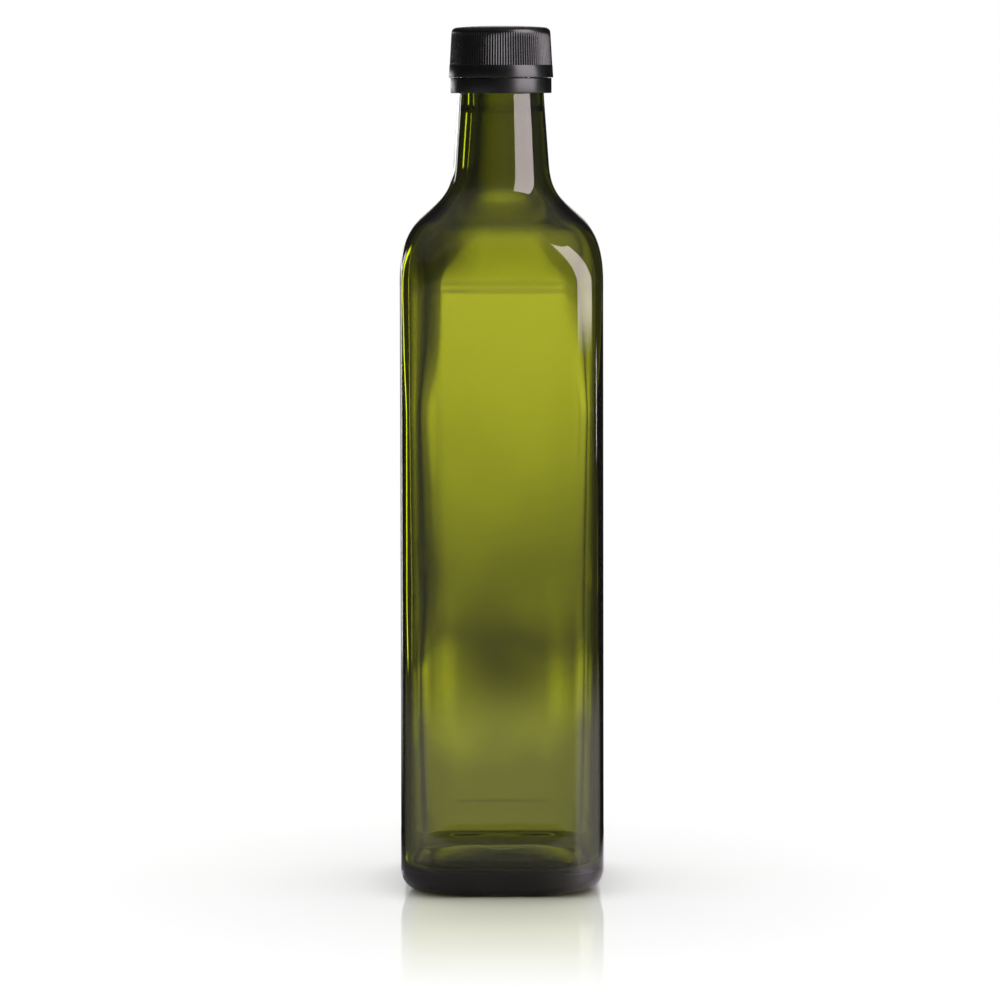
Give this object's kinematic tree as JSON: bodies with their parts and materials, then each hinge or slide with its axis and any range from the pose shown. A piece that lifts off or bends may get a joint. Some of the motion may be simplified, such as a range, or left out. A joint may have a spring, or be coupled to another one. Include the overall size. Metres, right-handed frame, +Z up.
{
  "type": "square oil bottle",
  "caption": "Tall empty square bottle of olive-green glass with rounded corners, round neck and a ribbed black screw cap over its tamper ring.",
  "frame": {"origin": "centre of the footprint, on the surface that the bottle stands on", "axes": "+Z up along the bottle's axis; the four flat faces look along +X, -X, +Y and -Y"},
  "size_m": [0.067, 0.067, 0.285],
  "materials": {
    "green_glass": "smooth olive-green glass, see-through",
    "black_cap": "satin black moulded plastic with fine ribs",
    "black_ring": "satin black moulded plastic"
  },
  "bodies": {
    "root": {"bottle": "green_glass", "cap": "black_cap", "tamper_ring": "black_ring"}
  },
  "joints": []
}
